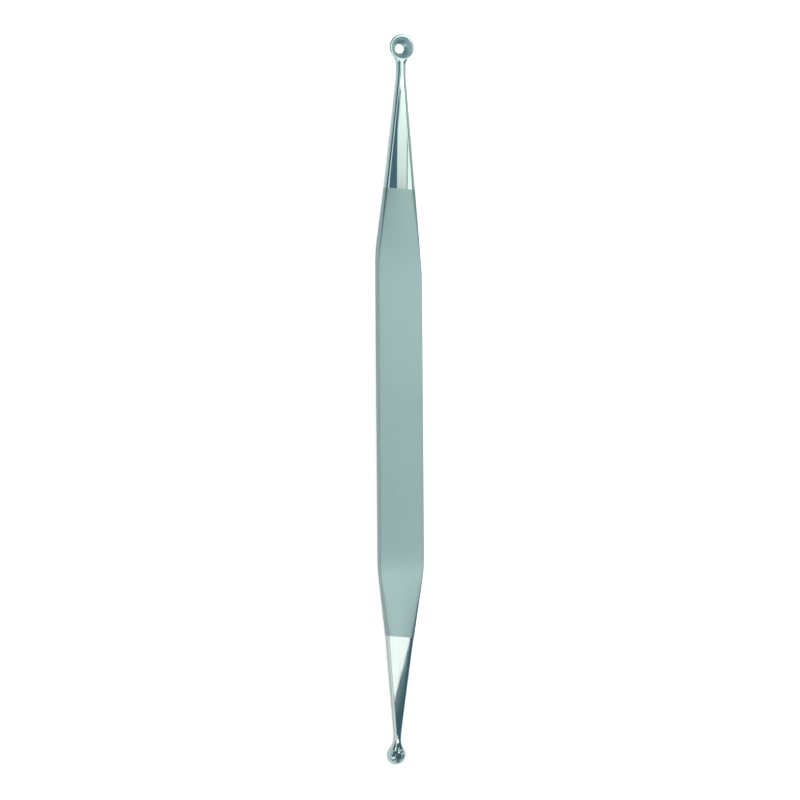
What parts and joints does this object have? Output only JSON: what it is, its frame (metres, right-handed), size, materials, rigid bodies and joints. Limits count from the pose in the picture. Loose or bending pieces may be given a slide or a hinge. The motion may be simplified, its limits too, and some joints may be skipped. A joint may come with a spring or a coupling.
{
  "type": "blackhead extractor",
  "caption": "Slim double-ended skin tool: a flat satin bar handle with ends cranked to opposite sides, each with a tapering polished neck and a small drilled cup that presses on the skin.",
  "frame": {"origin": "middle of the handle's flat back face", "axes": "+Y along the tool towards the larger cup, +Z out of the handle's front face, the way the larger cup opens, +X across the handle"},
  "size_m": [0.0078, 0.125, 0.0077],
  "materials": {
    "satin_steel": "satin, fine-grained stainless steel",
    "polished_steel": "polished, mirror-bright stainless steel"
  },
  "bodies": {
    "root": {"handle": "satin_steel", "upper_neck": "polished_steel", "upper_cup": "polished_steel", "lower_neck": "polished_steel", "lower_cup": "polished_steel"}
  },
  "joints": []
}
